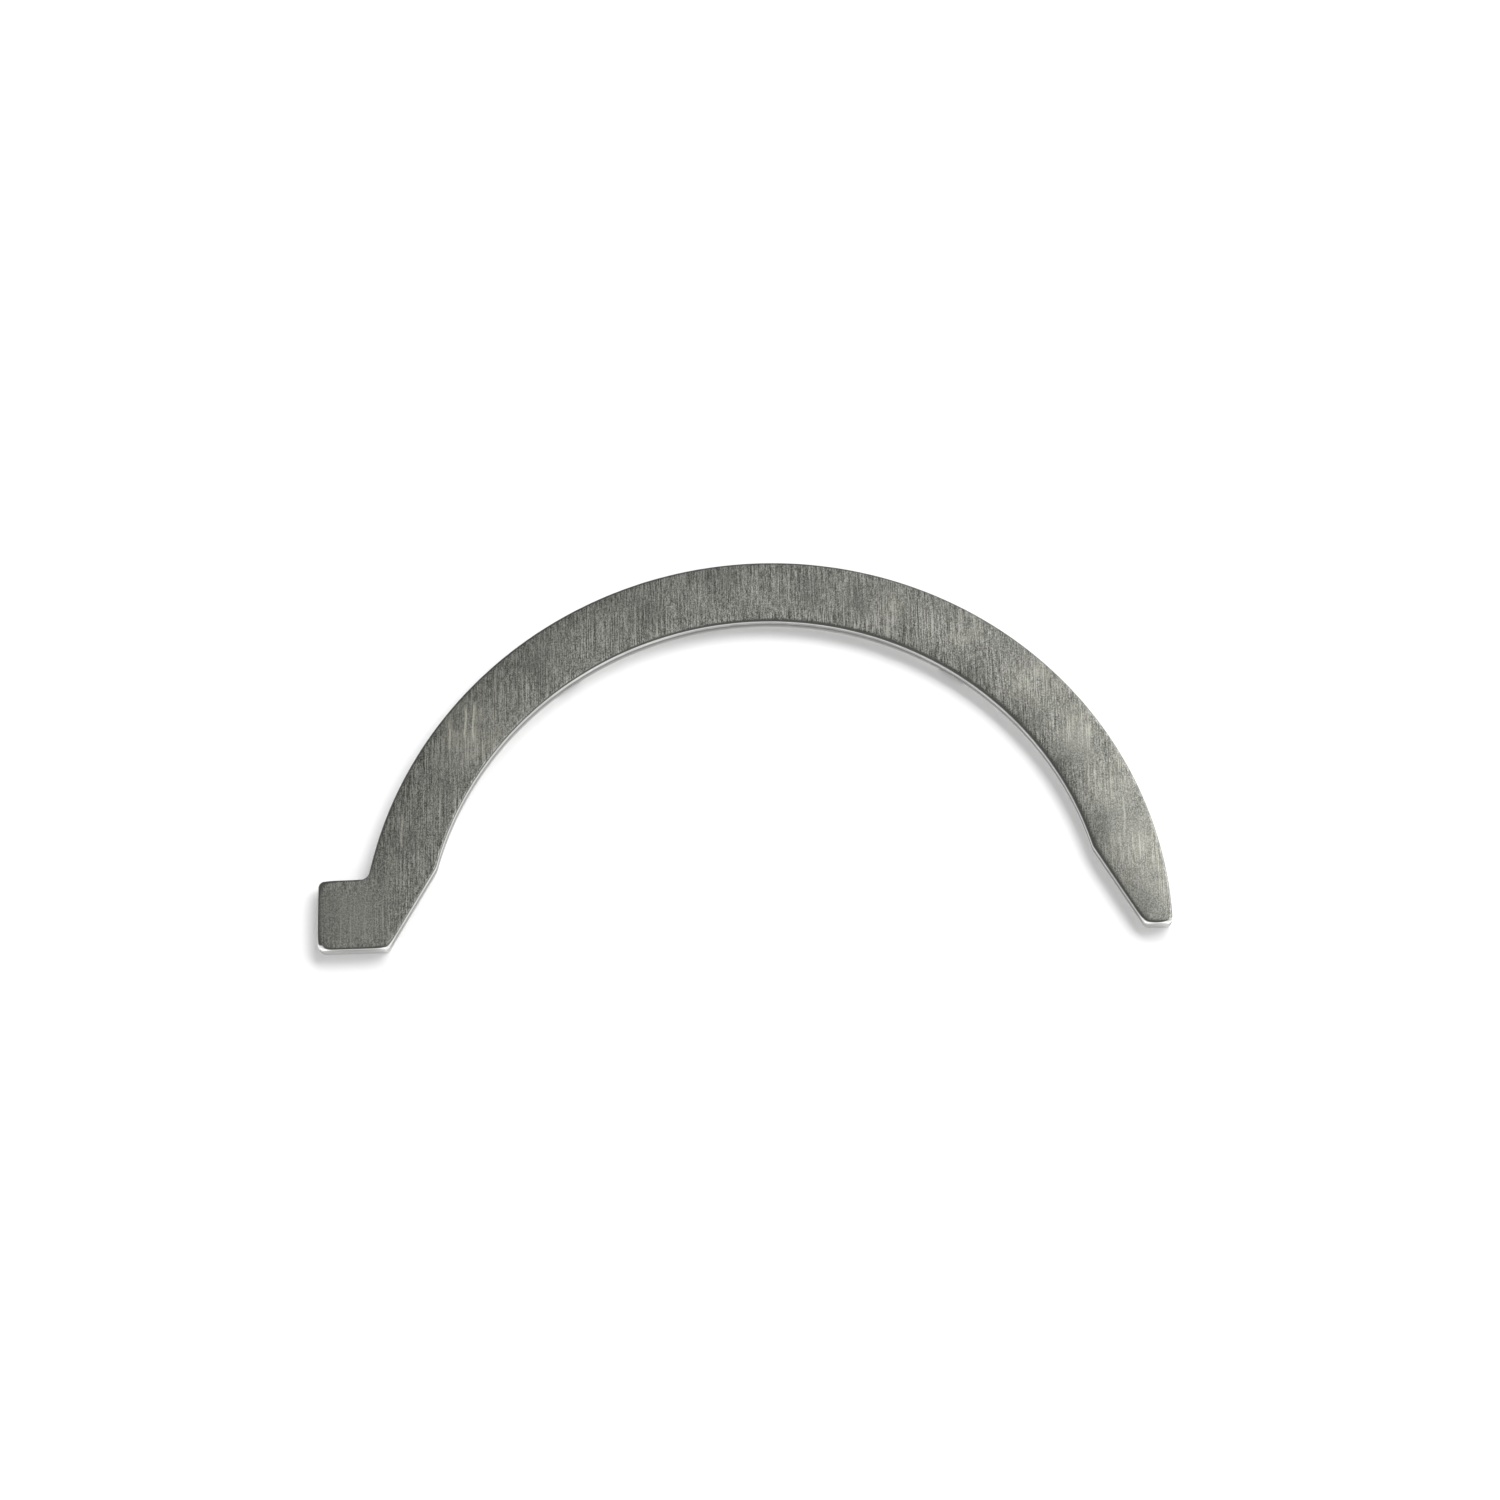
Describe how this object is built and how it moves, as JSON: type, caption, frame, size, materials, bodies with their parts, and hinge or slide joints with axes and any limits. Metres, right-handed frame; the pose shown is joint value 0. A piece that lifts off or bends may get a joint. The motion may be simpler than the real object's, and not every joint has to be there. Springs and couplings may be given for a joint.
{
  "type": "thrust washer",
  "caption": "Half-moon crankshaft thrust washer with a locating tab at one end, slanted end reliefs and oil grooves across its running face.",
  "frame": {"origin": "on the crankshaft's axis, in the plane of the running face", "axes": "+X along the parting line, away from the locating tab; +Y from the crankshaft's axis to the crown; +Z from the running face to the steel back"},
  "size_m": [0.1137, 0.0539, 0.0023],
  "materials": {
    "linished_steel": "linished, satin"
  },
  "bodies": {
    "root": {"thrust_washer": "linished_steel"}
  },
  "joints": []
}
